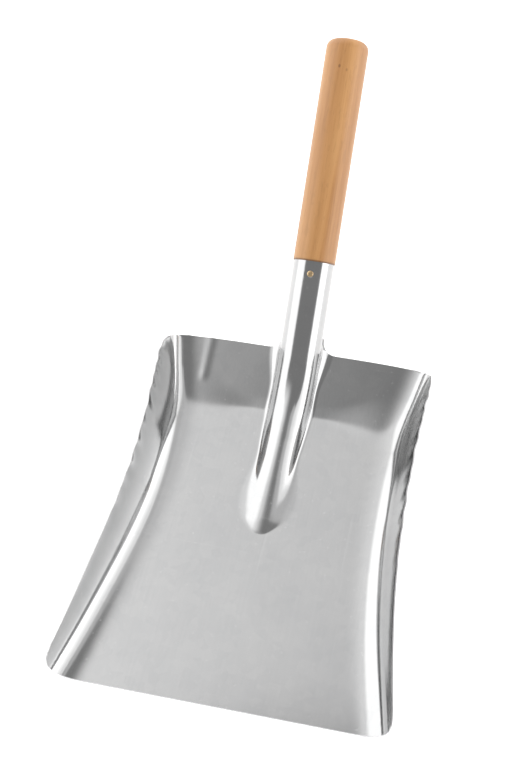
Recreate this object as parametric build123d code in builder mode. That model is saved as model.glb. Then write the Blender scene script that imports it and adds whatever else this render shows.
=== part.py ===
import os
from math import cos, hypot, radians, sin, tan

from build123d import *

# Hand scoop shovel: a pressed sheet-steel pan whose tail is rolled into a
# socket, a turned beech handle seated in the socket, and the nail that pins it.
# Millimetres. +X across the pan, +Y from the front lip towards the handle,
# +Z up, pan floor resting on Z = 0, origin under the centre of the bounding box.

# Sheet
SHEET = 0.8

# Pan floor, measured along its length from the front lip
FLAT_LENGTH = 223.0
BEND_RADIUS = 45.0
BEND_ANGLE = 20.0
TAIL_LENGTH = 38.5

# Side folds in plan: distance from the lip, half width where the wall meets Z = 0,
# and the wall's outward lean as run over rise
FOLD_STATIONS = [
    (-6.0, 101.5, 0.200),
    (69.0, 87.1, 0.236),
    (138.0, 79.7, 0.262),
    (193.0, 79.8, 0.264),
    (234.0, 83.0, 0.280),
    (273.0, 89.3, 0.220),
    (345.0, 101.0, 0.200),
]
FOLD_RADIUS = 14.5

# Rim in the side view: distance from the lip, height, down to the rear edge
RIM_STATIONS = [
    (-6.0, 17.6),
    (30.0, 23.0),
    (69.0, 29.0),
    (103.0, 32.8),
    (138.0, 36.3),
    (170.0, 39.3),
    (200.0, 40.2),
    (226.0, 38.6),
    (243.0, 36.4),
    (255.0, 32.2),
    (265.4, 24.9),
    (276.4, 15.6),
    (286.4, 7.0),
]

# Rounded front ends of the rims: radius and height of its centre above the floor
FRONT_CORNER_RADIUS = 9.5
FRONT_CORNER_HEIGHT = 8.6

# Rear edge, bowed towards the handle: at the cutter's end, halfway to it
REAR_BOW = 5.0
REAR_BOW_MIDDLE = 1.25

# Ridge and socket, one rolled tube along a bent axis
SOCKET_RADIUS = 14.5
SOCKET_BORE = SOCKET_RADIUS - SHEET
SOCKET_ANGLE = 42.0
SOCKET_RISE = 8.0
SOCKET_LENGTH = 63.5
RIDGE_CORNER_Y = 247.5
RIDGE_BEND_TANGENT = 25.0
RIDGE_ANGLE = 7.5
RIDGE_TIP_Y = 138.0
SEAM_GAP = 1.2
SEAM_START = 14.0

# Neck, where the floor's rear edge runs up into the socket
NECK_RADIUS = 10.0
NECK_TONGUE_HALF_WIDTH = 6.0
NECK_TONGUE_LENGTH = 17.5

# Handle
GRIP_RADIUS = 15.0
GRIP_LENGTH = 157.5
GRIP_END_RADIUS = 6.0
TENON_RADIUS = 13.65
TENON_LENGTH = 46.0
TENON_CHAMFER = 1.5

# Nail
NAIL_FROM_MOUTH = 9.0
NAIL_HEAD_RADIUS = 2.6
NAIL_HEAD_HEIGHT = 1.3
NAIL_SHANK_RADIUS = 1.1
NAIL_SHANK_LENGTH = 11.0
NAIL_POINT_LENGTH = 2.0
HANDLE_HOLE_RADIUS = 1.12
SOCKET_HOLE_RADIUS = 1.6

# Working extents of the cutting solids
ALL_ROUND = 800.0
SIDE_ROOM = 130.0
HEAD_ROOM = 90.0
FOOT_ROOM = 20.0
TAIL_ROOM = 111.0
FOLD_ZONE = 60.0
RIDGE_ROOM = 40.0
OVERLAP = 1.0

# Directions in the side view
bend = radians(BEND_ANGLE)
slope = radians(SOCKET_ANGLE)
ridge_dip = radians(RIDGE_ANGLE)

# Rear edge of the floor and the root of the socket's axis, measured from the lip
tail_y = FLAT_LENGTH + BEND_RADIUS * sin(bend) + TAIL_LENGTH * cos(bend)
tail_z = BEND_RADIUS * (1 - cos(bend)) + TAIL_LENGTH * sin(bend) + SHEET
root_y = tail_y - SOCKET_RISE * sin(slope)
root_z = tail_z + SOCKET_RISE * cos(slope)
grip_reach = (SOCKET_LENGTH + GRIP_LENGTH - GRIP_END_RADIUS) * cos(slope)
overall = root_y + grip_reach + (GRIP_RADIUS - GRIP_END_RADIUS) * sin(slope) + GRIP_END_RADIUS
LIP_Y = -overall / 2

# In the side view, the corner of the ridge's and socket's axes, and the centre of the rounded tip
turn_y = LIP_Y + RIDGE_CORNER_Y
turn_z = root_z - (root_y - RIDGE_CORNER_Y) * tan(slope)
tip_y = LIP_Y + RIDGE_TIP_Y
tip_z = turn_z - (turn_y - tip_y) * tan(ridge_dip)

TAIL_PLANE = Plane(origin=(0, LIP_Y + tail_y, tail_z), x_dir=(1, 0, 0), z_dir=(0, -sin(bend), cos(bend)))
TIP_PLANE = Plane(origin=(0, tip_y, tip_z), x_dir=(0, 1, 0), z_dir=(1, 0, 0))
SOCKET_AXIS = Axis((0, 0, 0), (0, cos(slope), sin(slope)))

# Side-view plane centred on the rounded front ends of the rims
FRONT_CORNER_PLANE = Plane(
    origin=(0, LIP_Y + FRONT_CORNER_RADIUS, FRONT_CORNER_HEIGHT + SHEET),
    x_dir=(0, 1, 0),
    z_dir=(1, 0, 0),
)


def axis_point(distance):
    """Point on the socket's axis at a distance up from its root."""
    return (0, LIP_Y + root_y + distance * cos(slope), root_z + distance * sin(slope))


def across_axis(distance):
    """Plane across the socket's axis, facing the handle's end."""
    return Plane(origin=axis_point(distance), x_dir=(1, 0, 0), z_dir=(0, cos(slope), sin(slope)))


def nail_plane(radial):
    """Plane across the nail, at a distance out from the socket's axis."""
    x, y, z = axis_point(SOCKET_LENGTH - NAIL_FROM_MOUTH)
    origin = (x, y - radial * sin(slope), z + radial * cos(slope))
    return Plane(origin=origin, x_dir=(1, 0, 0), z_dir=(0, -sin(slope), cos(slope)))


NAIL_SEAT = nail_plane(SOCKET_RADIUS)
NAIL_SIDE = Plane(origin=NAIL_SEAT.origin, x_dir=(1, 0, 0), z_dir=(0, -cos(slope), -sin(slope)))


def ridge_axis():
    """Axis of the ridge and socket in the side view, from the mouth to the tip."""
    mouth = axis_point(SOCKET_LENGTH)
    upper = (turn_y + RIDGE_BEND_TANGENT * cos(slope), turn_z + RIDGE_BEND_TANGENT * sin(slope))
    lower = (turn_y - RIDGE_BEND_TANGENT * cos(ridge_dip), turn_z - RIDGE_BEND_TANGENT * sin(ridge_dip))
    Line((mouth[1], mouth[2]), upper)
    TangentArc(upper, lower, tangent=(-cos(slope), -sin(slope)))
    Line(lower, (tip_y, tip_z))


def walls_outline(height, growth):
    """Hourglass outline of the leaning walls at a height, grown outwards."""
    right = [(half + height * lean + growth * hypot(1, lean), LIP_Y + y) for y, half, lean in FOLD_STATIONS]
    left = [(-x, y) for x, y in reversed(right)]
    Spline(*right)
    Line(right[-1], left[0])
    Spline(*left)
    Line(left[-1], right[0])


def below_floor(lift):
    """Side-view outline of everything under the floor line, lifted by a height."""
    radius = BEND_RADIUS + SHEET - lift
    centre_y = LIP_Y + FLAT_LENGTH
    centre_z = BEND_RADIUS + SHEET
    front = LIP_Y - FOOT_ROOM
    knee = (centre_y, lift)
    middle = (centre_y + radius * sin(bend / 2), centre_z - radius * cos(bend / 2))
    heel = (centre_y + radius * sin(bend), centre_z - radius * cos(bend))
    back = (heel[0] + TAIL_ROOM * cos(bend), heel[1] + TAIL_ROOM * sin(bend))
    Line((front, lift), knee)
    ThreePointArc(knee, middle, heel)
    Line(heel, back)
    Polyline(back, (back[0], -FOOT_ROOM), (front, -FOOT_ROOM), (front, lift))


def is_fold(edge):
    """True for the edges where the floor meets a side wall."""
    centre = edge.center()
    return abs(centre.X) > FOLD_ZONE and centre.Z < FOLD_ZONE and edge.bounding_box().size.Y > FOLD_RADIUS


with BuildPart() as tube_outside:
    with BuildLine(Plane.YZ) as outer_path:
        ridge_axis()
    with BuildSketch(across_axis(SOCKET_LENGTH)):
        Circle(SOCKET_RADIUS)
    sweep(path=outer_path.wire())
    with BuildSketch(TIP_PLANE):
        Circle(SOCKET_RADIUS)
        Rectangle(SOCKET_RADIUS * 2, SOCKET_RADIUS, align=(Align.CENTER, Align.MAX), mode=Mode.SUBTRACT)
    revolve(axis=Axis(TIP_PLANE.origin, (0, 1, 0)))

with BuildPart() as tube_inside:
    with BuildLine(Plane.YZ) as inner_path:
        ridge_axis()
    with BuildSketch(across_axis(SOCKET_LENGTH)):
        Circle(SOCKET_BORE)
    sweep(path=inner_path.wire())
    with BuildSketch(TIP_PLANE):
        Circle(SOCKET_BORE)
        Rectangle(SOCKET_BORE * 2, SOCKET_BORE, align=(Align.CENTER, Align.MAX), mode=Mode.SUBTRACT)
    revolve(axis=Axis(TIP_PLANE.origin, (0, 1, 0)))
    with BuildSketch(across_axis(SOCKET_LENGTH)):
        Circle(SOCKET_BORE)
    extrude(amount=OVERLAP)

with BuildPart() as trough_outside:
    for height in (-FOOT_ROOM, HEAD_ROOM):
        with BuildSketch(Plane.XY.offset(height)):
            with BuildLine():
                walls_outline(height, SHEET)
            make_face()
    loft()
    with BuildSketch(Plane.YZ):
        with BuildLine():
            below_floor(0)
        make_face()
    extrude(amount=SIDE_ROOM, both=True, mode=Mode.SUBTRACT)
    fillet(trough_outside.edges().filter_by(is_fold), radius=FOLD_RADIUS + SHEET)
    add(tube_inside.part, mode=Mode.SUBTRACT)

with BuildPart() as trough_inside:
    for height in (-FOOT_ROOM, HEAD_ROOM + OVERLAP):
        with BuildSketch(Plane.XY.offset(height)):
            with BuildLine():
                walls_outline(height, 0)
            make_face()
    loft()
    with BuildSketch(Plane.YZ):
        with BuildLine():
            below_floor(SHEET)
        make_face()
    extrude(amount=SIDE_ROOM, both=True, mode=Mode.SUBTRACT)
    fillet(trough_inside.edges().filter_by(is_fold), radius=FOLD_RADIUS)
    add(tube_outside.part, mode=Mode.SUBTRACT)

with BuildPart() as rear_offcut:
    with BuildSketch(TAIL_PLANE):
        with BuildLine():
            notch = SOCKET_RADIUS + NECK_RADIUS
            middle = (notch + SIDE_ROOM) / 2
            ThreePointArc((-SIDE_ROOM, -REAR_BOW), (-middle, -REAR_BOW_MIDDLE), (-notch, 0))
            RadiusArc((-notch, 0), (-SOCKET_RADIUS, NECK_RADIUS), -NECK_RADIUS)
            Polyline(
                (-SOCKET_RADIUS, NECK_RADIUS),
                (-NECK_TONGUE_HALF_WIDTH, NECK_TONGUE_LENGTH),
                (NECK_TONGUE_HALF_WIDTH, NECK_TONGUE_LENGTH),
                (SOCKET_RADIUS, NECK_RADIUS),
            )
            RadiusArc((SOCKET_RADIUS, NECK_RADIUS), (notch, 0), -NECK_RADIUS)
            ThreePointArc((notch, 0), (middle, -REAR_BOW_MIDDLE), (SIDE_ROOM, -REAR_BOW))
            Polyline(
                (SIDE_ROOM, -REAR_BOW),
                (SIDE_ROOM, SIDE_ROOM),
                (-SIDE_ROOM, SIDE_ROOM),
                (-SIDE_ROOM, -REAR_BOW),
            )
        make_face()
    extrude(amount=HEAD_ROOM, both=True)
    add(tube_outside.part, mode=Mode.SUBTRACT)

with BuildPart() as rim_offcut:
    with BuildSketch(Plane.YZ):
        with BuildLine():
            rim = [(LIP_Y + y, z) for y, z in RIM_STATIONS]
            Spline(*rim)
            Polyline(rim[-1], (rim[-1][0], HEAD_ROOM + FOOT_ROOM), (rim[0][0], HEAD_ROOM + FOOT_ROOM), rim[0])
        make_face()
    extrude(amount=ALL_ROUND, both=True)
    with BuildSketch(FRONT_CORNER_PLANE):
        Rectangle(FRONT_CORNER_RADIUS * 2, FRONT_CORNER_RADIUS * 2, align=(Align.MAX, Align.MIN))
        Circle(FRONT_CORNER_RADIUS, mode=Mode.SUBTRACT)
    extrude(amount=ALL_ROUND, both=True)
    with BuildSketch(Plane.XY):
        Rectangle(RIDGE_ROOM * 2, ALL_ROUND)
    extrude(amount=ALL_ROUND, mode=Mode.SUBTRACT)

with BuildPart() as blade:
    add(trough_outside.part)
    add(trough_inside.part, mode=Mode.SUBTRACT)
    add(rear_offcut.part, mode=Mode.SUBTRACT)
    add(rim_offcut.part, mode=Mode.SUBTRACT)
    with BuildSketch(Plane.XZ.offset(-LIP_Y)):
        Rectangle(ALL_ROUND, ALL_ROUND)
    extrude(amount=FOOT_ROOM, mode=Mode.SUBTRACT)
    with BuildSketch(across_axis(SEAM_START)):
        Rectangle(SEAM_GAP, SOCKET_RADIUS + OVERLAP, align=(Align.CENTER, Align.MIN))
    extrude(amount=SOCKET_LENGTH, mode=Mode.SUBTRACT)
    with BuildSketch(nail_plane(0)):
        Circle(SOCKET_HOLE_RADIUS)
    extrude(amount=SOCKET_RADIUS + OVERLAP, mode=Mode.SUBTRACT)

with BuildPart() as handle:
    with BuildSketch(across_axis(SOCKET_LENGTH)):
        Circle(GRIP_RADIUS)
    extrude(amount=GRIP_LENGTH)
    fillet(handle.edges().group_by(SOCKET_AXIS)[-1], radius=GRIP_END_RADIUS)
    with BuildSketch(across_axis(SOCKET_LENGTH - TENON_LENGTH)):
        Circle(TENON_RADIUS)
    extrude(amount=TENON_LENGTH)
    chamfer(handle.edges().group_by(SOCKET_AXIS)[0], length=TENON_CHAMFER)
    with BuildSketch(NAIL_SEAT):
        Circle(HANDLE_HOLE_RADIUS)
    extrude(amount=-NAIL_SHANK_LENGTH, mode=Mode.SUBTRACT)

with BuildPart() as nail:
    with BuildSketch(NAIL_SIDE):
        with BuildLine():
            Polyline(
                (0, NAIL_HEAD_HEIGHT),
                (0, -NAIL_SHANK_LENGTH),
                (NAIL_SHANK_RADIUS, NAIL_POINT_LENGTH - NAIL_SHANK_LENGTH),
                (NAIL_SHANK_RADIUS, 0),
                (NAIL_HEAD_RADIUS, 0),
            )
            TangentArc((0, NAIL_HEAD_HEIGHT), (NAIL_HEAD_RADIUS, 0), tangent=(1, 0))
        make_face()
    revolve(axis=Axis(NAIL_SEAT.origin, NAIL_SEAT.z_dir))

os.makedirs("parts", exist_ok=True)
blade.part.label = "blade"
handle.part.label = "handle"
nail.part.label = "nail"
export_step(blade.part, "parts/blade.step")
export_step(handle.part, "parts/handle.step")
export_step(nail.part, "parts/nail.step")
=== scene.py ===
import math
import random

import bpy
import numpy as np
from mathutils import Matrix, Vector


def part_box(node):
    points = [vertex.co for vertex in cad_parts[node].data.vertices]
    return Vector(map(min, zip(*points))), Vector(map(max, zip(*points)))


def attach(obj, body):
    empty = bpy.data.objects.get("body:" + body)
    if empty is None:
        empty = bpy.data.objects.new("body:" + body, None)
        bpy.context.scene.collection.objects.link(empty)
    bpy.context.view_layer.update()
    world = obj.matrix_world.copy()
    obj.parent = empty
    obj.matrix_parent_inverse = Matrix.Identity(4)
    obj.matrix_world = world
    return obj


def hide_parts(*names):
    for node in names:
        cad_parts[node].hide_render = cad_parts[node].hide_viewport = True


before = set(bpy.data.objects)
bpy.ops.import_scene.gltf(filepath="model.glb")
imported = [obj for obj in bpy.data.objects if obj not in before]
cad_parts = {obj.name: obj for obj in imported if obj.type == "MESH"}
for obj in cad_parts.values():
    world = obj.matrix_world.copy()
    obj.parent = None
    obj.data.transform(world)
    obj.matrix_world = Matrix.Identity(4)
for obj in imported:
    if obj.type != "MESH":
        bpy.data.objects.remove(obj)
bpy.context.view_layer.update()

# Hand scoop shovel: a pressed steel pan rolled into a socket, a turned beech handle and a nail.
# Lengths are millimetres, measured from the front lip, with +Y towards the handle and +Z up.
# metres() takes them into the frame. Each table gives a distance from the lip and the value there.

# Pan floor: its lengths run along it, and its bend is slacker near the walls
SHEET = 0.8
FLAT_LENGTH = 223.0
BEND_RADIUS = 45.0
SIDE_BEND_RADIUS = 130.0
BEND = math.radians(20.0)
TAIL_LENGTH = 38.5
FLOOR_LENGTH = FLAT_LENGTH + BEND_RADIUS * BEND + TAIL_LENGTH
REAR_BOW = 5.0
REAR_BOW_HALF_WIDTH = 130.0
REAR_BOW_LEAD = 30.0
SLACK_WIDTH = 45.0

# Side walls: half width where they meet Z = 0, outward lean as run over rise, and drift of the whole pan
FOLD_HALF = [
    (-6.0, 101.4), (69.0, 87.1), (138.0, 79.7), (193.0, 79.8), (234.0, 83.0), (273.0, 89.3), (345.0, 101.0),
]
WALL_LEAN = [
    (-6.0, 0.20), (69.0, 0.236), (138.0, 0.262), (193.0, 0.264), (234.0, 0.28), (273.0, 0.22), (345.0, 0.20),
]
DRIFT = [
    (-6.0, 0.0), (25.0, 0.1), (60.0, 0.1), (140.0, 1.3), (190.0, 1.1), (230.0, 0.3), (262.0, 0.0), (345.0, 0.0),
]
DRIFT_WIDTH = 35.0
WALL_CURVE = math.radians(11.0)
WALL_CURVE_START = -10.0
WALL_CURVE_FADE = 80.0

# Rim height, and the rounded front ends of the rims: radius and height of its centre
RIM_HEIGHT = [
    (-6.0, 17.6), (30.0, 23.0), (69.0, 29.0), (103.0, 32.8), (138.0, 36.3), (170.0, 39.3), (200.0, 40.2),
    (226.0, 38.6), (243.0, 36.4), (255.0, 32.2), (265.4, 24.9), (276.4, 15.6), (286.4, 7.0),
]
FRONT_CORNER_RADIUS = 9.5
FRONT_CORNER_HEIGHT = 8.6
LEAST_RIM = 0.6

# Rim ripples: height, length of a radian, phase, and the phase added on the right. They start and fade at
# shares of the floor's length, and move the rim more sideways than up.
RIPPLES = ((0.52, 2.55, 0.0, 1.26), (0.38, 3.9, 1.3, 0.6), (0.30, 6.3, 0.4, -0.6))
RIPPLE_START, RIPPLE_RISE = 0.30, 0.18
RIPPLE_FADE, RIPPLE_FALL, RIPPLE_LOSS = 0.9, 0.1, 0.6
RIPPLE_ASIDE, RIPPLE_UP = 0.4, 0.22
RIPPLE_LEAST_WALL = 4.0

# Fold between floor and wall: a gentle lead-in, the round part, then an easing into the wall
FOLD_RADIUS = 14.5
TAIL_FOLD_RADIUS = 12.5
TAIL_FOLD_START, TAIL_FOLD_RISE = 212.0, 45.0
FOLD_EASE = math.radians(11.0)
FOLD_END_EASE = FOLD_EASE * 0.6
FOLD_LEAD = 13.0
FOLD_STEPS = 32
FOLD_SUBSTEPS = 12

# Soft streak pressed into the left of the tail
STREAK_X = 66.0
STREAK_WIDTH = 2.6
STREAK_DEPTH = 0.32
STREAK_START, STREAK_RISE = 240.0, 9.0

# Ridge: the slope of its axis, the bend up to the socket, and the low mound round its tip
RIDGE_SLOPE = math.radians(8.3)
RIDGE_SAG = 0.00027
RIDGE_TURN = 196.0
BEND_TANGENT = 25.0
BEND_RAMP = 10.0
BEND_STEPS = 400
BEND_STRIDE = 8
RIDGE_TIP = 126.0
RIDGE_NOSE = 10.0
RIDGE_BACK = 227.0
TIP_FADE = 70.0
TIP_WIDENING = 12.0
TIP_FILLET = 56.0
TIP_FILLET_LEAST, TIP_FILLET_RISE = 0.15, 22.0
MOUND_ANGLE = math.radians(11.0)
FLANK_GAIN, FLANK_START, FLANK_RISE = 1.5, 134.0, 50.0
MOUND_REACH = 14.0
MOUND_START, MOUND_RISE = 95.0, 25.0
MOUND_END, MOUND_FALL = 165.0, 30.0
FILLET = 3.5
FLAT_ENOUGH = 0.02

# Socket, and the neck where the floor's rear edge runs up into it
SOCKET_RADIUS = 14.5
SLOPE = math.radians(42.0)
SOCKET_RISE = 8.0
SOCKET_LENGTH = 63.5
NECK_RADIUS = 10.0
NECK_FILLET = 5.0
NECK_FILLET_RISE, NECK_FILLET_FADE = 24.0, 9.0
NECK_FLARE_FADE = 7.0
NECK_CURVE = 0.022
NECK_CLOSED = 18.0
SEAM = 1.2
STRIP = NECK_RADIUS + SOCKET_RADIUS

# Handle
GRIP_RADIUS = 15.0
GRIP_LENGTH = 157.5
GRIP_END_RADIUS = 6.0
GRIP_WAIST = 0.05
TENON_RADIUS = 13.65
TENON_LENGTH = 46.0
TENON_CHAMFER = 1.5

# Nail in its dimple
NAIL_FROM_MOUTH = 9.0
NAIL_SINK = 0.55
NAIL_LENGTH = 10.5
NAIL_HEAD_RADIUS = 2.23
NAIL_SHANK_RADIUS = 1.1
DIMPLE_DEPTH = 0.85
DIMPLE_RADIUS = 2.55
DIMPLE_SHARPNESS = 2.6
DIMPLE_LIP = 0.07
DIMPLE_LIP_RADIUS = 3.7
DIMPLE_LIP_WIDTH = 0.9
DIMPLE_ROWS = 8.0

# Searches: along the floor, and for the rim's height
SEARCH_ROOM = 60.0
SEARCH_ROUNDS = 60
RIM_GUESS = 30.0
RIM_ROUNDS = 8

# Points across each row of the sheet: the ridge's strip, the floor beside it, and the fold with its wall
STRIP_COUNT = 112
FLOOR_COUNT = 24
WALL_COUNT = 56
BELLY_COUNT = 16

TAIL_Y = FLAT_LENGTH + BEND_RADIUS * math.sin(BEND) + TAIL_LENGTH * math.cos(BEND)
TAIL_Z = BEND_RADIUS * (1 - math.cos(BEND)) + TAIL_LENGTH * math.sin(BEND) + SHEET
ROOT_Y = TAIL_Y - SOCKET_RISE * math.sin(SLOPE)
ROOT_Z = TAIL_Z + SOCKET_RISE * math.cos(SLOPE)
LIP_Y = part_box("blade")[0][1] * 1000.0


def metres(point):
    """A point from the lip in millimetres, in the frame in metres."""
    return (point[0] / 1000.0, (point[1] + LIP_Y) / 1000.0, point[2] / 1000.0)


def on_axis(distance, radial=0.0):
    """Point up the socket's axis from its root, and out from the axis towards the top."""
    y = ROOT_Y + distance * math.cos(SLOPE) - radial * math.sin(SLOPE)
    z = ROOT_Z + distance * math.sin(SLOPE) + radial * math.cos(SLOPE)
    return Vector(metres((0.0, y, z)))


def spline(points):
    """Natural cubic spline through the points, as a function."""
    x = np.array([p[0] for p in points], float)
    y = np.array([p[1] for p in points], float)
    count = len(x)
    gap = np.diff(x)
    system = np.zeros((count, count))
    right = np.zeros(count)
    system[0, 0] = system[-1, -1] = 1.0
    for i in range(1, count - 1):
        system[i, i - 1:i + 2] = gap[i - 1], 2 * (gap[i - 1] + gap[i]), gap[i]
        right[i] = 6 * ((y[i + 1] - y[i]) / gap[i] - (y[i] - y[i - 1]) / gap[i - 1])
    curve = np.linalg.solve(system, right)

    def at(value):
        i = int(min(max(np.searchsorted(x, value) - 1, 0), count - 2))
        after, before = x[i + 1] - value, value - x[i]
        cubic = (curve[i] * after ** 3 + curve[i + 1] * before ** 3) / (6 * gap[i])
        start = (y[i] / gap[i] - curve[i] * gap[i] / 6) * after
        end = (y[i + 1] / gap[i] - curve[i + 1] * gap[i] / 6) * before
        return float(cubic + start + end)
    return at


fold_half_at = spline(FOLD_HALF)
lean_at = spline(WALL_LEAN)
drift_at = spline(DRIFT)
rim_at = spline(RIM_HEIGHT)


def smooth(t):
    """Rises from 0 to 1 as t does, level at both ends."""
    t = min(max(t, 0.0), 1.0)
    return t * t * (3 - 2 * t)


def extend(values, end, step):
    """Adds evenly spaced values until the last one reaches the end."""
    while values[-1] < end:
        values.append(values[-1] + step)


# ---------------------------------------------------------------- blade: pan, ridge, neck and socket
def floor_at(s, radius=BEND_RADIUS):
    """Top of the floor at a length along it: y, z and slope. A slacker bend keeps the same corner."""
    start = FLAT_LENGTH + (BEND_RADIUS - radius) * math.tan(BEND / 2)
    angle = min(max((s - start) / radius, 0.0), BEND)
    beyond = max(s - start - radius * BEND, 0.0)
    y = min(s, start) + radius * math.sin(angle) + beyond * math.cos(angle)
    z = radius * (1 - math.cos(angle)) + beyond * math.sin(angle) + SHEET
    return y, z, angle


def floor_under(y, z, slope):
    """Length along the floor where the plane across the axis at a point meets it."""
    low, high = 0.0, FLOOR_LENGTH + SEARCH_ROOM
    for _ in range(SEARCH_ROUNDS):
        middle = (low + high) / 2
        floor_y, floor_z, _angle = floor_at(middle)
        if (floor_y - y) * math.cos(slope) + (floor_z - z) * math.sin(slope) < 0:
            low = middle
        else:
            high = middle
    return (low + high) / 2


def bend_path():
    """Axis points and slopes down the bend from the socket's root, eased at both ends of the turn."""
    turned = SLOPE - RIDGE_SLOPE
    length = BEND_TANGENT * turned / math.tan(turned / 2)
    whole = length + BEND_RAMP
    step = whole / BEND_STEPS
    y, z, angle, path = ROOT_Y, ROOT_Z, SLOPE, []
    for i in range(BEND_STEPS):
        along = (i + 0.5) * step
        angle -= turned / length * min(along / BEND_RAMP, (whole - along) / BEND_RAMP, 1.0) * step
        y -= math.cos(angle) * step
        z -= math.sin(angle) * step
        path.append((y, z, angle))
    return path


def stations():
    """Axis point and plane's slope for each row, lip to mouth, and the distance past the rear edge or None.

    Rows are closest at the lip, along the ridge, past the rear edge and near the socket's mouth.
    """
    path = bend_path()
    foot_y, foot_z, _angle = path[-1]
    ys = [0.0, 0.15, 0.4, 0.8, 1.4, 2.2, 3.2, 4.4, 5.6, 7.5]
    extend(ys, 118.0, 2.5)
    extend(ys, foot_y - 1.0, 1.1)
    rows = []
    for y in ys:
        back = y - foot_y
        z = foot_z + back * math.tan(RIDGE_SLOPE) + RIDGE_SAG * back ** 2
        rows.append((y, z, RIDGE_SLOPE * smooth((y - RIDGE_TURN) / (foot_y - RIDGE_TURN)), None))
    rows += [(y, z, angle, None) for y, z, angle in path[-BEND_STRIDE::-BEND_STRIDE]]
    distances = [0.0, 0.03, 0.12, 0.3, 0.6, 1.0, 1.5]
    extend(distances, 24.0, 0.8)
    extend(distances, 46.0, 1.5)
    extend(distances, SOCKET_LENGTH - 1.1, 0.45)
    distances += [SOCKET_LENGTH - 0.6, SOCKET_LENGTH]
    for d in distances:
        rows.append((ROOT_Y + d * math.cos(SLOPE), ROOT_Z + d * math.sin(SLOPE), SLOPE, d))
    return rows


def crown(radius, axis_height, fillet, reach=None, steepest=math.pi, half_width=STRIP):
    """Evenly spaced points of the ridge's section: round top, straight flank, fillet, then floor.

    The flank is there only where the round top would turn past the steepest angle. Half the section's length is
    the reach, or what it takes to come to the strip's half width.
    """
    turn = math.acos(min(max((fillet - axis_height) / (radius + fillet), -1.0), 1.0))
    flank = 0.0
    if turn > steepest:
        turn = steepest
        drop = (radius + fillet) * (1 - math.cos(turn))
        flank = max((radius + axis_height - drop) / math.sin(turn), 0.0)
    foot = (radius + fillet) * math.sin(turn) + flank * math.cos(turn)
    arc, bend = radius * turn, fillet * turn
    if reach is None:
        reach = arc + flank + bend + half_width - foot
    points = []
    for i in range(STRIP_COUNT + 1):
        along = reach * (2.0 * i / STRIP_COUNT - 1.0)
        side, along = math.copysign(1.0, along), abs(along)
        if along <= arc:
            x = radius * math.sin(along / radius)
            height = axis_height + radius * math.cos(along / radius)
        elif along <= arc + flank:
            x = radius * math.sin(turn) + (along - arc) * math.cos(turn)
            height = axis_height + radius * math.cos(turn) - (along - arc) * math.sin(turn)
        elif along <= arc + flank + bend:
            angle = turn - (along - arc - flank) / fillet
            x, height = foot - fillet * math.sin(angle), fillet - fillet * math.cos(angle)
        else:
            x, height = foot + (along - arc - flank - bend), 0.0
        points.append((side * x, height))
    return points


def strip_half_width(y):
    """Half width of the ridge's strip, wider round the mound at its tip."""
    widened = smooth((y - MOUND_START) / MOUND_RISE) * (1 - smooth((y - MOUND_END) / MOUND_FALL))
    return STRIP + MOUND_REACH * widened


def ridge_section(y, axis_height):
    """Section of the ridge: low and wide round its tip, then half round with small fillets."""
    near_tip = 1 - smooth((y - RIDGE_TIP) / TIP_FADE)
    radius = SOCKET_RADIUS + TIP_WIDENING * near_tip ** 1.2
    grown = TIP_FILLET_LEAST + (1 - TIP_FILLET_LEAST) * smooth((y - RIDGE_TIP) / TIP_FILLET_RISE)
    fillet = FILLET + TIP_FILLET * near_tip ** 1.5 * grown
    steepest = MOUND_ANGLE + FLANK_GAIN * smooth((y - FLANK_START) / FLANK_RISE) ** 1.3
    half_width = strip_half_width(y)
    height = axis_height + SOCKET_RADIUS
    into_nose = (RIDGE_TIP + RIDGE_NOSE - y) / RIDGE_NOSE
    if into_nose > 0:
        height *= math.sqrt(max(1 - into_nose ** 2, 0.0))
    if height > FLAT_ENOUGH:
        return crown(radius, height - radius, fillet, None, steepest, half_width)
    return [(half_width * (2.0 * i / STRIP_COUNT - 1.0), 0.0) for i in range(STRIP_COUNT + 1)]


def neck_section(d, axis_height):
    """Section past the rear edge: its foot shrinks round the neck's arc, then it closes to the seam."""
    fillet = FILLET + NECK_FILLET * (1 - smooth(d / NECK_FILLET_FADE))
    reach = closed = math.pi * SOCKET_RADIUS - SEAM / 2
    if d <= NECK_CLOSED:
        turn = math.acos(min(max((fillet - axis_height) / (SOCKET_RADIUS + fillet), -1.0), 1.0))
        foot = math.sqrt(max((SOCKET_RADIUS + fillet) ** 2 - (fillet - axis_height) ** 2, 0.0))
        if d <= NECK_RADIUS:
            edge = STRIP - math.sqrt(max(NECK_RADIUS ** 2 - (NECK_RADIUS - d) ** 2, 0.0))
            reach = (SOCKET_RADIUS + fillet) * turn + edge - foot
        else:
            flare = max(fillet * turn + SOCKET_RADIUS - foot, 0.0)
            reach = SOCKET_RADIUS * turn + flare * (1 - smooth((d - NECK_RADIUS) / NECK_FLARE_FADE))
    return crown(SOCKET_RADIUS, axis_height, fillet, min(reach, closed))


def dimpled(points, section, from_nail, axis_height):
    """The socket's points pressed in round the nail's head, with a slight lip outside."""
    pressed = []
    for (x, y, z), (_x, height) in zip(points, section):
        if height > axis_height:
            away = math.hypot(from_nail, x)
            sink = DIMPLE_DEPTH * math.exp(-((away / DIMPLE_RADIUS) ** DIMPLE_SHARPNESS))
            sink -= DIMPLE_LIP * math.exp(-(((away - DIMPLE_LIP_RADIUS) / DIMPLE_LIP_WIDTH) ** 2))
            up = sink * (height - axis_height) / SOCKET_RADIUS
            x, y, z = x - sink * x / SOCKET_RADIUS, y + up * math.sin(SLOPE), z - up * math.cos(SLOPE)
        pressed.append((x, y, z))
    return pressed


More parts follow.
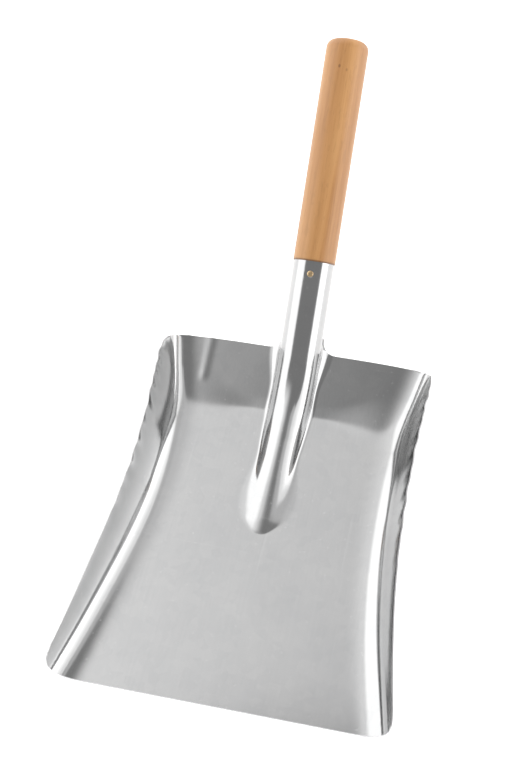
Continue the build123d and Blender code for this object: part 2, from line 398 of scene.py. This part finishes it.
def ripple(s, side):
    """Waviness of the rim where the bend gathers the wall."""
    share = s / FLOOR_LENGTH
    window = smooth((share - RIPPLE_START) / RIPPLE_RISE)
    window *= 1 - RIPPLE_LOSS * smooth((share - RIPPLE_FADE) / RIPPLE_FALL)
    wave = 0.0
    for size, length, phase, shift in RIPPLES:
        wave += size * math.sin(s / length + phase + (shift if side > 0 else 0.0))
    return window * wave


def fold_profile(radius, steepest):
    """Points of a fold from the floor, at its start, up to the steepest angle: x and height."""
    round_length = radius * (steepest - FOLD_EASE - FOLD_END_EASE)
    end_length = 2 * radius * FOLD_END_EASE
    total = FOLD_LEAD + round_length + end_length
    step = total / (FOLD_STEPS * FOLD_SUBSTEPS)
    points, x, height = [(0.0, 0.0)], 0.0, 0.0
    for i in range(FOLD_STEPS * FOLD_SUBSTEPS):
        along = (i + 0.5) * step
        if along < FOLD_LEAD:
            tilt = FOLD_EASE * (along / FOLD_LEAD) ** 1.8
        elif along < FOLD_LEAD + round_length:
            tilt = FOLD_EASE + (along - FOLD_LEAD) / radius
        else:
            tilt = steepest - (total - along) ** 2 / (2 * radius * end_length)
        x += math.cos(tilt) * step
        height += math.sin(tilt) * step
        if (i + 1) % FOLD_SUBSTEPS == 0:
            points.append((x, height))
    return points


def wall_height(y, z, tilt):
    """Height of the rim square to the floor, with the rounded front end."""
    top = RIM_GUESS
    for _ in range(RIM_ROUNDS):
        top = (rim_at(y - top * math.sin(tilt)) - z) / math.cos(tilt)
    if y < FRONT_CORNER_RADIUS:
        corner = math.sqrt(max(FRONT_CORNER_RADIUS ** 2 - (FRONT_CORNER_RADIUS - y) ** 2, 0.0))
        top = min(top, FRONT_CORNER_HEIGHT + corner)
    return max(top, LEAST_RIM)


def side_outline(y, z, tilt, radius):
    """Fold and wall of one row: its first x, its points, and the heights where the wall starts and ends."""
    curve = WALL_CURVE * smooth((y - WALL_CURVE_START) / WALL_CURVE_FADE)
    profile = fold_profile(radius, math.pi / 2 - math.atan(lean_at(y)) - curve)
    reach, rise = profile[-1]
    top = wall_height(y, z, tilt)

    def wall_x(height):
        wall_y, wall_z = y - height * math.sin(tilt), z + height * math.cos(tilt)
        return fold_half_at(wall_y) + wall_z * lean_at(wall_y)

    start = wall_x(rise) - reach
    line = [(start + x, height) for x, height in profile]
    if top > rise:
        belly = (top - rise) * math.tan(curve) / 4
        for i in range(1, BELLY_COUNT + 1):
            share = i / BELLY_COUNT
            height = rise + (top - rise) * share
            line.append((wall_x(height) + 4 * belly * share * (1 - share), height))
    steps = [math.dist(p, q) for p, q in zip(line, line[1:])]
    lengths = np.concatenate([[0.0], np.cumsum(steps)])
    xs, heights = np.array([p[0] for p in line]), np.array([p[1] for p in line])
    whole = lengths[-1] if top > rise else float(np.interp(top, heights, lengths))
    outline = []
    for i in range(1, WALL_COUNT + 1):
        along = whole * i / WALL_COUNT
        outline.append((float(np.interp(along, lengths, xs)), float(np.interp(along, lengths, heights))))
    return start, outline, rise, top


def wall_row(s, side):
    """Points of a row on one side, 1 or -1, from the ridge's strip out to the rim."""
    floor_y, floor_z, tilt = floor_at(s, SIDE_BEND_RADIUS)
    radius = FOLD_RADIUS + (TAIL_FOLD_RADIUS - FOLD_RADIUS) * smooth((s - TAIL_FOLD_START) / TAIL_FOLD_RISE)
    start, outline, rise, top = side_outline(floor_y, floor_z, tilt, radius)
    inner = strip_half_width(floor_y)
    points = [(inner + (start - inner) * i / FLOOR_COUNT, 0.0) for i in range(1, FLOOR_COUNT + 1)]
    wave = ripple(s, side)
    for x, height in outline:
        near_rim = min(max(height - rise, 0.0) / max(top - rise, RIPPLE_LEAST_WALL), 1.0) ** 1.6
        points.append((x + RIPPLE_ASIDE * wave * near_rim, height + RIPPLE_UP * wave * near_rim))
    press = STREAK_DEPTH * smooth((s - STREAK_START) / STREAK_RISE) if side < 0 else 0.0
    row = []
    for x, height in points:
        height += press * math.exp(-(((x - STREAK_X) / STREAK_WIDTH) ** 2))
        outward = (x - STRIP) / (REAR_BOW_HALF_WIDTH - STRIP)
        bow = REAR_BOW * outward ** 2 * smooth((s - FLOOR_LENGTH + REAR_BOW_LEAD) / REAR_BOW_LEAD)
        slack = BEND_RADIUS + (SIDE_BEND_RADIUS - BEND_RADIUS) * smooth((x - STRIP) / SLACK_WIDTH)
        y, z, angle = floor_at(max(s - bow, 0.0), slack)
        aside = drift_at(floor_y) * smooth((x - STRIP) / DRIFT_WIDTH)
        row.append((side * x + aside, y - height * math.sin(angle), z + height * math.cos(angle)))
    return row


def blade_row(y, z, slope, d):
    """One row of the sheet, left to right: the pan's whole width, or past the rear edge the neck and socket."""
    up_y, up_z = -math.sin(slope), math.cos(slope)
    if d is not None and d > 0:
        axis_height = SOCKET_RISE + math.tan(SLOPE - BEND) * d + NECK_CURVE * d * d
        section = neck_section(d, axis_height)
        points = [(x, y + (h - axis_height) * up_y, z + (h - axis_height) * up_z) for x, h in section]
        from_nail = d - (SOCKET_LENGTH - NAIL_FROM_MOUTH)
        return dimpled(points, section, from_nail, axis_height) if abs(from_nail) < DIMPLE_ROWS else points
    s = floor_under(y, z, slope)
    floor_y, floor_z, _angle = floor_at(s)
    axis_height = (y - floor_y) * up_y + (z - floor_z) * up_z
    if y < RIDGE_BACK:
        section = ridge_section(y, axis_height)
    else:
        near_neck = smooth((y - ROOT_Y + NECK_FILLET_RISE) / NECK_FILLET_RISE)
        section = crown(SOCKET_RADIUS, axis_height, FILLET + NECK_FILLET * near_neck)
    middle = [(x, floor_y + h * up_y, floor_z + h * up_z) for x, h in section]
    return wall_row(s, -1)[::-1] + middle + wall_row(s, 1)


def blade_mesh():
    """The sheet's top face, its rows joined where they face each other."""
    verts, faces, rows = [], [], []
    for station in stations():
        row = blade_row(*station)
        rows.append((len(verts), len(row)))
        verts += [metres(point) for point in row]
    for (start, count), (next_start, next_count) in zip(rows, rows[1:]):
        shared = min(count, next_count)
        a = start + (count - shared) // 2
        b = next_start + (next_count - shared) // 2
        faces += [(a + i, a + i + 1, b + i + 1, b + i) for i in range(shared - 1)]
    mesh = bpy.data.meshes.new("blade_sheet")
    mesh.from_pydata(verts, [], faces)
    mesh.update()
    return mesh


# ---------------------------------------------------------------- turned pieces: profiles as radius and height
def handle_profile():
    """Tenon, rubbed square shoulder, very slightly waisted grip and rounded end. Height from the shoulder."""
    shoulder, end = 0.6, GRIP_LENGTH - GRIP_END_RADIUS
    profile = [
        (0.02, -TENON_LENGTH),
        (TENON_RADIUS - TENON_CHAMFER, -TENON_LENGTH),
        (TENON_RADIUS, TENON_CHAMFER - TENON_LENGTH),
        (TENON_RADIUS, -0.02),
        (GRIP_RADIUS - 0.5, 0.0),
        (GRIP_RADIUS - 0.16, 0.08),
        (GRIP_RADIUS - 0.03, 0.28),
        (GRIP_RADIUS, shoulder),
    ]
    for i in range(1, 61):
        waist = GRIP_WAIST * math.sin(math.pi * i / 60)
        profile.append((GRIP_RADIUS - waist, shoulder + (end - shoulder) * i / 60))
    for i in range(1, 15):
        angle = math.pi / 2 * i / 14
        radius = GRIP_RADIUS - GRIP_END_RADIUS * (1 - math.cos(angle))
        profile.append((radius, GRIP_LENGTH - GRIP_END_RADIUS * (1 - math.sin(angle))))
    return profile + [(6.0, GRIP_LENGTH), (2.0, GRIP_LENGTH), (0.02, GRIP_LENGTH)]


def nail_profile():
    """Pointed shank and low domed head. Height from the widest part of the head."""
    return [
        (0.01, -NAIL_LENGTH),
        (NAIL_SHANK_RADIUS, 2.0 - NAIL_LENGTH),
        (NAIL_SHANK_RADIUS, -0.4),
        (NAIL_HEAD_RADIUS - 0.17, -0.3),
        (NAIL_HEAD_RADIUS, 0.0),
        (NAIL_HEAD_RADIUS - 0.07, 0.18),
        (NAIL_HEAD_RADIUS - 0.55, 0.42),
        (0.96, 0.56),
        (0.01, 0.6),
    ]


def lathe(name, profile, segments, wobble=0.0, seed=0):
    """Mesh turned round local Z, out of round by at most the wobble's share of the radius."""
    rng = random.Random(seed)
    phase = [rng.uniform(0, 6.28) for _ in range(2)]
    verts, faces = [], []
    for radius, height in [(r / 1000.0, h / 1000.0) for r, h in profile]:
        for i in range(segments):
            t = 2 * math.pi * i / segments
            oval = 0.25 * math.sin(2 * t + phase[0] + height * 23)
            lobed = 0.25 * math.sin(3 * t + phase[1] - height * 31)
            r = radius * (1 - wobble * (0.5 + oval + lobed))
            verts.append((r * math.cos(t), r * math.sin(t), height))
    for j in range(len(profile) - 1):
        low, high = j * segments, (j + 1) * segments
        for i in range(segments):
            n = (i + 1) % segments
            faces.append((low + i, low + n, high + n, high + i))
    last = (len(profile) - 1) * segments
    faces.append(tuple(range(segments))[::-1])
    faces.append(tuple(range(last, last + segments)))
    mesh = bpy.data.meshes.new(name)
    mesh.from_pydata(verts, [], faces)
    mesh.update()
    return mesh


# ---------------------------------------------------------------- materials
class Nodes:
    """Small helper for building a node tree."""

    def __init__(self, tree):
        self.tree = tree
        tree.nodes.clear()

    def new(self, kind, **values):
        node = self.tree.nodes.new(kind)
        for key, value in values.items():
            setattr(node, key, value)
        return node

    def link(self, a, b):
        self.tree.links.new(a, b)

    def math(self, op, a, b=None):
        node = self.new("ShaderNodeMath", operation=op)
        for socket, value in zip(node.inputs, (a, b)):
            if value is None:
                continue
            if isinstance(value, (int, float)):
                socket.default_value = value
            else:
                self.link(value, socket)
        return node.outputs[0]

    def add(self, a, b):
        return self.math("ADD", a, b)

    def times(self, a, b):
        return self.math("MULTIPLY", a, b)

    def step(self, value, low, high, kind="SMOOTHSTEP"):
        """0 at low and 1 at high, whichever of them is the larger."""
        node = self.new("ShaderNodeMapRange", interpolation_type=kind)
        self.link(value, node.inputs["Value"])
        node.inputs["From Min"].default_value = low
        node.inputs["From Max"].default_value = high
        return node.outputs["Result"]

    def noise(self, vector, scale=1.0, detail=3.0, rough=0.5, distortion=0.0):
        node = self.new("ShaderNodeTexNoise")
        node.inputs["Scale"].default_value = scale
        node.inputs["Detail"].default_value = detail
        node.inputs["Roughness"].default_value = rough
        node.inputs["Distortion"].default_value = distortion
        self.link(vector, node.inputs["Vector"])
        return node.outputs["Fac"]

    def mapping(self, vector, scale=(1, 1, 1), rotation=(0, 0, 0)):
        node = self.new("ShaderNodeMapping")
        node.inputs["Scale"].default_value = scale
        node.inputs["Rotation"].default_value = rotation
        self.link(vector, node.inputs["Vector"])
        return node.outputs["Vector"]

    def ramp(self, value, stops):
        node = self.new("ShaderNodeValToRGB")
        ramp = node.color_ramp
        while len(ramp.elements) < len(stops):
            ramp.elements.new(0.5)
        for element, (at, colour) in zip(ramp.elements, stops):
            element.position = at
            element.color = (*colour, 1.0)
        self.link(value, node.inputs["Fac"])
        return node.outputs["Color"]

    def tint(self, colour, factor, strength, other):
        """The colour mixed towards another by a factor and a strength."""
        node = self.new("ShaderNodeMix", data_type="RGBA", blend_type="MIX")
        self.link(self.times(factor, strength), node.inputs[0])
        self.link(colour, node.inputs[6])
        node.inputs[7].default_value = (*other, 1.0)
        return node.outputs[2]

    def bump(self, height, strength, distance, normal=None):
        node = self.new("ShaderNodeBump")
        node.inputs["Strength"].default_value = strength
        node.inputs["Distance"].default_value = distance
        self.link(height, node.inputs["Height"])
        if normal is not None:
            self.link(normal, node.inputs["Normal"])
        return node.outputs["Normal"]


def material(name):
    """A new material, its node helper, its shader and the object's coordinates in metres."""
    mat = bpy.data.materials.new(name)
    mat.use_nodes = True
    nodes = Nodes(mat.node_tree)
    shader = nodes.new("ShaderNodeBsdfPrincipled")
    output = nodes.new("ShaderNodeOutputMaterial")
    nodes.link(shader.outputs[0], output.inputs[0])
    coords = nodes.new("ShaderNodeTexCoord").outputs["Object"]
    return mat, nodes, shader, coords


def along_handle(nodes, coords):
    """Coordinates with Z up the handle from its shoulder and X across the pan."""
    shift = nodes.new("ShaderNodeVectorMath", operation="SUBTRACT")
    nodes.link(coords, shift.inputs[0])
    shift.inputs[1].default_value = on_axis(SOCKET_LENGTH)
    return nodes.mapping(shift.outputs[0], rotation=(math.pi / 2 - SLOPE, 0, 0))


def sheet_steel():
    """Bright zinc-coated sheet: faint spangle, rolling grain, fine handling scratches and specks."""
    mat, n, shader, at = material("galvanised_sheet")
    shader.inputs["Metallic"].default_value = 1.0
    cloud = n.noise(at, 22.0, 3.0, 0.55)
    grain = n.noise(n.mapping(at, (900.0, 22.0, 900.0)), detail=2.0)
    cross = n.noise(n.mapping(at, (30.0, 520.0, 60.0)), detail=2.0)
    cells = n.new("ShaderNodeTexVoronoi")
    cells.inputs["Scale"].default_value = 170.0
    n.link(at, cells.inputs["Vector"])
    spangle = n.new("ShaderNodeSeparateColor")
    n.link(cells.outputs["Color"], spangle.inputs[0])
    tone = n.add(n.times(cloud, 0.55), n.times(spangle.outputs[0], 0.12))
    tone = n.add(tone, n.times(grain, 0.2))
    colour = n.ramp(tone, [
        (0.18, (0.42, 0.423, 0.426)),
        (0.5, (0.46, 0.46, 0.46)),
        (0.8, (0.495, 0.495, 0.49)),
    ])

    long_marks = n.noise(n.mapping(at, (260.0, 7.0, 260.0), (0, 0, 0.35)), detail=1.0, rough=0.4)
    cross_marks = n.noise(n.mapping(at, (9.0, 300.0, 300.0), (0, 0, -0.2)), detail=1.0, rough=0.4)
    scratches = n.math("MAXIMUM", n.step(long_marks, 0.735, 0.80), n.step(cross_marks, 0.745, 0.81))
    specks = n.step(n.noise(at, 420.0, 1.0, 0.4), 0.735, 0.765)
    marks = n.math("MAXIMUM", n.times(scratches, 0.35), specks)
    n.link(n.tint(colour, marks, 0.3, (0.60, 0.60, 0.60)), shader.inputs["Base Color"])

    rough = n.add(n.times(cloud, 0.05), n.times(grain, 0.035))
    rough = n.add(rough, n.times(marks, 0.08))
    n.link(n.add(rough, 0.085), shader.inputs["Roughness"])
    swell = n.noise(n.mapping(at, (26.0, 13.0, 26.0)), detail=1.5)
    height = n.add(n.times(grain, 0.5), n.times(cross, 0.25))
    height = n.math("SUBTRACT", height, n.times(marks, 0.5))
    fine = n.bump(height, 0.10, 0.0001)
    n.link(n.bump(swell, 0.16, 0.0014, fine), shader.inputs["Normal"])
    return mat


def cut_edge():
    """Sheared edge of the sheet: duller, with fine shear lines."""
    mat, n, shader, at = material("sheared_edge")
    shader.inputs["Metallic"].default_value = 1.0
    lines = n.noise(n.mapping(at, (1400.0, 1400.0, 180.0)), detail=2.0, rough=0.6)
    n.link(n.ramp(lines, [(0.3, (0.52, 0.52, 0.53)), (0.7, (0.74, 0.74, 0.74))]), shader.inputs["Base Color"])
    n.link(n.add(n.times(lines, 0.2), 0.28), shader.inputs["Roughness"])
    n.link(n.bump(lines, 0.3, 0.0001), shader.inputs["Normal"])
    return mat


def beech():
    """Turned beech under a thin clear lacquer: long grain, ray flecks, pores, two small knots, a darker end,
    painted shade down the middle of the grip and a painted shadow line at the shoulder.
    """
    mat, n, shader, coords = material("beech_wood")
    at = along_handle(n, coords)
    wander = n.noise(n.mapping(at, (9.0, 9.0, 5.0)), detail=2.0)
    push = n.new("ShaderNodeCombineXYZ")
    n.link(n.times(wander, 0.006), push.inputs[0])
    n.link(n.times(wander, 0.004), push.inputs[1])
    warp = n.new("ShaderNodeVectorMath", operation="ADD")
    n.link(at, warp.inputs[0])
    n.link(push.outputs[0], warp.inputs[1])
    bent = warp.outputs[0]
    rings = n.noise(n.mapping(bent, (210.0, 70.0, 4.5), (0, 0, 0.6)), 1.0, 3.0, 0.55, 0.4)
    broad = n.noise(n.mapping(bent, (48.0, 26.0, 7.0), (0, 0, 0.6)), detail=2.0)
    fibre = n.noise(n.mapping(at, (1500.0, 1500.0, 42.0)), detail=2.0, rough=0.6)
    tone = n.add(n.times(rings, 0.42), n.times(broad, 0.38))
    tone = n.add(tone, n.times(fibre, 0.2))
    colour = n.ramp(tone, [
        (0.30, (0.31, 0.138, 0.044)),
        (0.44, (0.414, 0.198, 0.068)),
        (0.55, (0.483, 0.246, 0.091)),
        (0.72, (0.563, 0.308, 0.124)),
    ])

    parts = n.new("ShaderNodeSeparateXYZ")
    n.link(at, parts.inputs[0])
    across, _depth, along = parts.outputs
    grip = GRIP_LENGTH / 1000.0
    # Painted shade: a darker band down the middle of the handle's top and underside, leaving its sides lighter.
    painted_shade_band = n.math("ABSOLUTE", n.add(n.add(across, 0.001), n.times(wander, 0.004)))
    colour = n.tint(colour, n.step(painted_shade_band, 0.0095, 0.003), 0.22, (0.30, 0.14, 0.05))
    colour = n.tint(colour, n.step(along, grip - 0.0075, grip - 0.004), 0.25, (0.33, 0.16, 0.06))
    # Painted shadow: a dark ring round the grip just above the shoulder, where it meets the socket's mouth.
    colour = n.tint(colour, n.step(along, 0.0016, 0.0006), 0.75, (0.13, 0.06, 0.025))
    for knot_x, knot_z, radius, dark in ((-0.0022, 0.1366, 0.0008, 0.75), (0.0032, 0.1345, 0.0007, 0.4)):
        aside = n.math("SUBTRACT", across, knot_x)
        up = n.times(n.math("SUBTRACT", along, knot_z), 0.7)
        away = n.math("SQRT", n.add(n.times(aside, aside), n.times(up, up)))
        colour = n.tint(colour, n.step(away, radius * 1.5, radius * 0.5), dark, (0.16, 0.07, 0.03))
    flecks = n.noise(n.mapping(at, (420.0, 420.0, 120.0)), detail=1.0, rough=0.4)
    colour = n.tint(colour, n.step(flecks, 0.60, 0.70), 0.2, (0.30, 0.15, 0.058))
    pores = n.step(n.noise(n.mapping(at, (1900.0, 1900.0, 160.0)), detail=1.0, rough=0.4), 0.66, 0.74)
    n.link(n.tint(colour, pores, 0.25, (0.22, 0.105, 0.04)), shader.inputs["Base Color"])

    n.link(n.add(n.times(fibre, 0.16), 0.36), shader.inputs["Roughness"])
    shader.inputs["Coat Weight"].default_value = 0.12
    shader.inputs["Coat Roughness"].default_value = 0.3
    height = n.math("SUBTRACT", n.times(fibre, 0.6), pores)
    n.link(n.bump(height, 0.22, 0.00012), shader.inputs["Normal"])
    return mat


def brass():
    """Dull brass nail with fine file marks and patches of tarnish."""
    mat, n, shader, at = material("nail_brass")
    shader.inputs["Metallic"].default_value = 1.0
    marks = n.noise(n.mapping(at, (2600.0, 700.0, 2600.0)), detail=2.0, rough=0.6)
    tarnish = n.noise(at, 900.0, 2.0, 0.6)
    colour = n.ramp(marks, [(0.3, (0.62, 0.42, 0.22)), (0.7, (0.80, 0.62, 0.38))])
    n.link(n.tint(colour, n.step(tarnish, 0.52, 0.7), 0.6, (0.30, 0.18, 0.09)), shader.inputs["Base Color"])
    n.link(n.add(n.times(marks, 0.2), 0.26), shader.inputs["Roughness"])
    n.link(n.bump(marks, 0.25, 0.00008), shader.inputs["Normal"])
    return mat


def pale_floor():
    """Plain pale floor, bright enough to read as white."""
    mat, n, shader, at = material("pale_floor")
    tone = n.ramp(n.noise(at, 3.0, 3.0), [(0.3, (0.86, 0.86, 0.86)), (0.7, (0.88, 0.88, 0.88))])
    n.link(tone, shader.inputs["Base Color"])
    shader.inputs["Roughness"].default_value = 0.9
    shader.inputs["Emission Color"].default_value = (1.0, 1.0, 1.0, 1.0)
    shader.inputs["Emission Strength"].default_value = 0.4
    return mat


# ---------------------------------------------------------------- pieces
def placed(name, data):
    """A new object holding the data, in the scene."""
    piece = bpy.data.objects.new(name, data)
    bpy.context.scene.collection.objects.link(piece)
    return piece


def bake_modifiers(piece):
    """Applies the piece's modifiers to its mesh."""
    graph = bpy.context.evaluated_depsgraph_get()
    mesh = bpy.data.meshes.new_from_object(piece.evaluated_get(graph))
    piece.modifiers.clear()
    piece.data = mesh


def turned_piece(name, mesh, point, x_dir, y_dir, z_dir, mat):
    """A lathe's mesh moved to its place, smooth shaded."""
    axes = Matrix((x_dir, y_dir, z_dir)).transposed().to_4x4()
    mesh.transform(Matrix.Translation(point) @ axes)
    mesh.materials.append(mat)
    for polygon in mesh.polygons:
        polygon.use_smooth = True
    return placed(name, mesh)


across_dir = Vector((1, 0, 0))
axis_dir = Vector((0, math.cos(SLOPE), math.sin(SLOPE)))
up_dir = Vector((0, -math.sin(SLOPE), math.cos(SLOPE)))

blade = placed("blade_visual", blade_mesh())
thickness = blade.modifiers.new("thickness", "SOLIDIFY")
thickness.thickness = SHEET / 1000.0
thickness.offset = -1.0
thickness.use_even_offset = True
thickness.material_offset_rim = 1
blade.data.materials.append(sheet_steel())
blade.data.materials.append(cut_edge())
bake_modifiers(blade)
for polygon in blade.data.polygons:
    polygon.use_smooth = polygon.material_index == 0
blade.data.set_sharp_from_angle(angle=math.radians(50))
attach(blade, "root")
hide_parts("blade")

handle_mesh = lathe("handle_turned", handle_profile(), 160, wobble=0.003, seed=7)
shoulder_point = on_axis(SOCKET_LENGTH)
handle = turned_piece("handle_visual", handle_mesh, shoulder_point, across_dir, up_dir, axis_dir, beech())
handle.data.set_sharp_from_angle(angle=math.radians(60))
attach(handle, "root")
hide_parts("handle")

nail_mesh = lathe("nail_turned", nail_profile(), 48)
nail_point = on_axis(SOCKET_LENGTH - NAIL_FROM_MOUTH, SOCKET_RADIUS - NAIL_SINK)
nail = turned_piece("nail_visual", nail_mesh, nail_point, across_dir, -axis_dir, up_dir, brass())
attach(nail, "root")
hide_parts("nail")

# ---------------------------------------------------------------- floor and key light, in metres
FLOOR_HALF = 6.0
FLOOR_Z = -0.0002
KEY_SIZE = 2.4
KEY_PLACE = (0.1, 0.0, 2.6)

floor_mesh = bpy.data.meshes.new("floor")
corners = [(x * FLOOR_HALF, y * FLOOR_HALF, FLOOR_Z) for x, y in ((-1, -1), (1, -1), (1, 1), (-1, 1))]
floor_mesh.from_pydata(corners, [], [(0, 1, 2, 3)])
floor_mesh.materials.append(pale_floor())
floor = placed("floor", floor_mesh)

key = bpy.data.lights.new("key", "AREA")
key.shape = "RECTANGLE"
key.size = KEY_SIZE
key.size_y = KEY_SIZE
key.energy = 40.0
key_light = placed("key", key)
key_light.location = KEY_PLACE
key_light.visible_glossy = False

# ---------------------------------------------------------------- studio room, by azimuth from +Y and elevation
STEEL_TONE = 0.46

world = bpy.data.worlds.new("studio")
bpy.context.scene.world = world
world.use_nodes = True
w = Nodes(world.node_tree)
split = w.new("ShaderNodeSeparateXYZ")
w.link(w.new("ShaderNodeTexCoord").outputs["Generated"], split.inputs[0])
dx, dy, dz = split.outputs
level_distance = w.math("SQRT", w.add(w.times(dx, dx), w.times(dy, dy)))
elevation = w.times(w.math("ARCTAN2", dz, level_distance), math.degrees(1.0))
azimuth = w.times(w.math("ARCTAN2", dx, dy), math.degrees(1.0))


def panel(room, tone, azimuths, elevations, soft_azimuth, soft_elevation, drop=0.0, drop_over=(0.0, 1.0)):
    """The room with a soft-edged panel of light over it, whose top edge drops between two azimuths."""
    left = w.step(azimuth, azimuths[0] - soft_azimuth, azimuths[0] + soft_azimuth)
    right = w.step(azimuth, azimuths[1] + soft_azimuth, azimuths[1] - soft_azimuth)
    bottom = w.step(elevation, elevations[0] - soft_elevation, elevations[0] + soft_elevation)
    lifted = w.add(elevation, w.times(w.step(azimuth, *drop_over, "LINEAR"), drop))
    top = w.step(lifted, elevations[1] + soft_elevation, elevations[1] - soft_elevation)
    cover = w.times(w.times(left, right), w.times(bottom, top))
    return w.add(w.times(room, w.math("SUBTRACT", 1.0, cover)), w.times(cover, tone))


# The tones are what the steel shows, so the room is brighter by the steel's own tone. A low glow comes from the
# left, then four panels go over it: high on the right of the rear, the rear, the left and the right.
glow = w.times(w.step(dx, 0.02, -0.42), w.step(dy, -0.30, 0.10))
glow = w.times(glow, w.add(w.times(w.step(dy, 0.0, 0.40), 0.2), 0.8))
rear_tone = w.add(w.times(w.step(azimuth, 2, -28, "LINEAR"), 0.22), 0.61)
rear_tone = w.math("SUBTRACT", rear_tone, w.times(w.step(azimuth, 8, 26), 0.08))
right_tone = w.add(w.times(w.step(elevation, 44, 10, "LINEAR"), 0.9), 0.92)
room = w.add(w.times(glow, 0.74), 0.21)
room = panel(room, 0.46, (6, 62), (48, 64), 6, 1.5)
room = panel(room, rear_tone, (-37, 60), (-4, 65), 6, 2.6, 3.5, (0, 14))
room = panel(room, 1.3, (-128, -39), (-3, 59), 5, 5, 25, (-70, -125))
room = panel(room, right_tone, (38, 120), (-3, 52.5), 4, 3.2, 26, (70, 115))
background = w.new("ShaderNodeBackground")
w.link(w.times(room, 1 / STEEL_TONE), background.inputs["Strength"])
w.link(background.outputs[0], w.new("ShaderNodeOutputWorld").inputs[0])

# ---------------------------------------------------------------- camera: distance in metres, lens in mm
CAMERA_AZIMUTH = math.radians(11.92)
CAMERA_ELEVATION = math.radians(49.4)
CAMERA_DISTANCE = 0.9
CAMERA_TARGET = (-24.9, 234.8, 20.0)
LENS = 60.4
SENSOR = 36.0

level_out = Vector((math.sin(CAMERA_AZIMUTH), -math.cos(CAMERA_AZIMUTH), 0))
towards_camera = level_out * math.cos(CAMERA_ELEVATION) + Vector((0, 0, math.sin(CAMERA_ELEVATION)))
camera_right = Vector((math.cos(CAMERA_AZIMUTH), math.sin(CAMERA_AZIMUTH), 0))
camera_up = towards_camera.cross(camera_right)
camera = bpy.data.cameras.new("camera")
camera.lens = LENS
camera.sensor_width = SENSOR
camera.clip_start = 0.01
camera_place = Vector(metres(CAMERA_TARGET)) + towards_camera * CAMERA_DISTANCE
camera_axes = Matrix((camera_right, camera_up, towards_camera)).transposed().to_4x4()
camera_object = placed("camera", camera)
camera_object.matrix_world = Matrix.Translation(camera_place) @ camera_axes
bpy.context.scene.camera = camera_object
bpy.context.scene.view_settings.view_transform = "Standard"
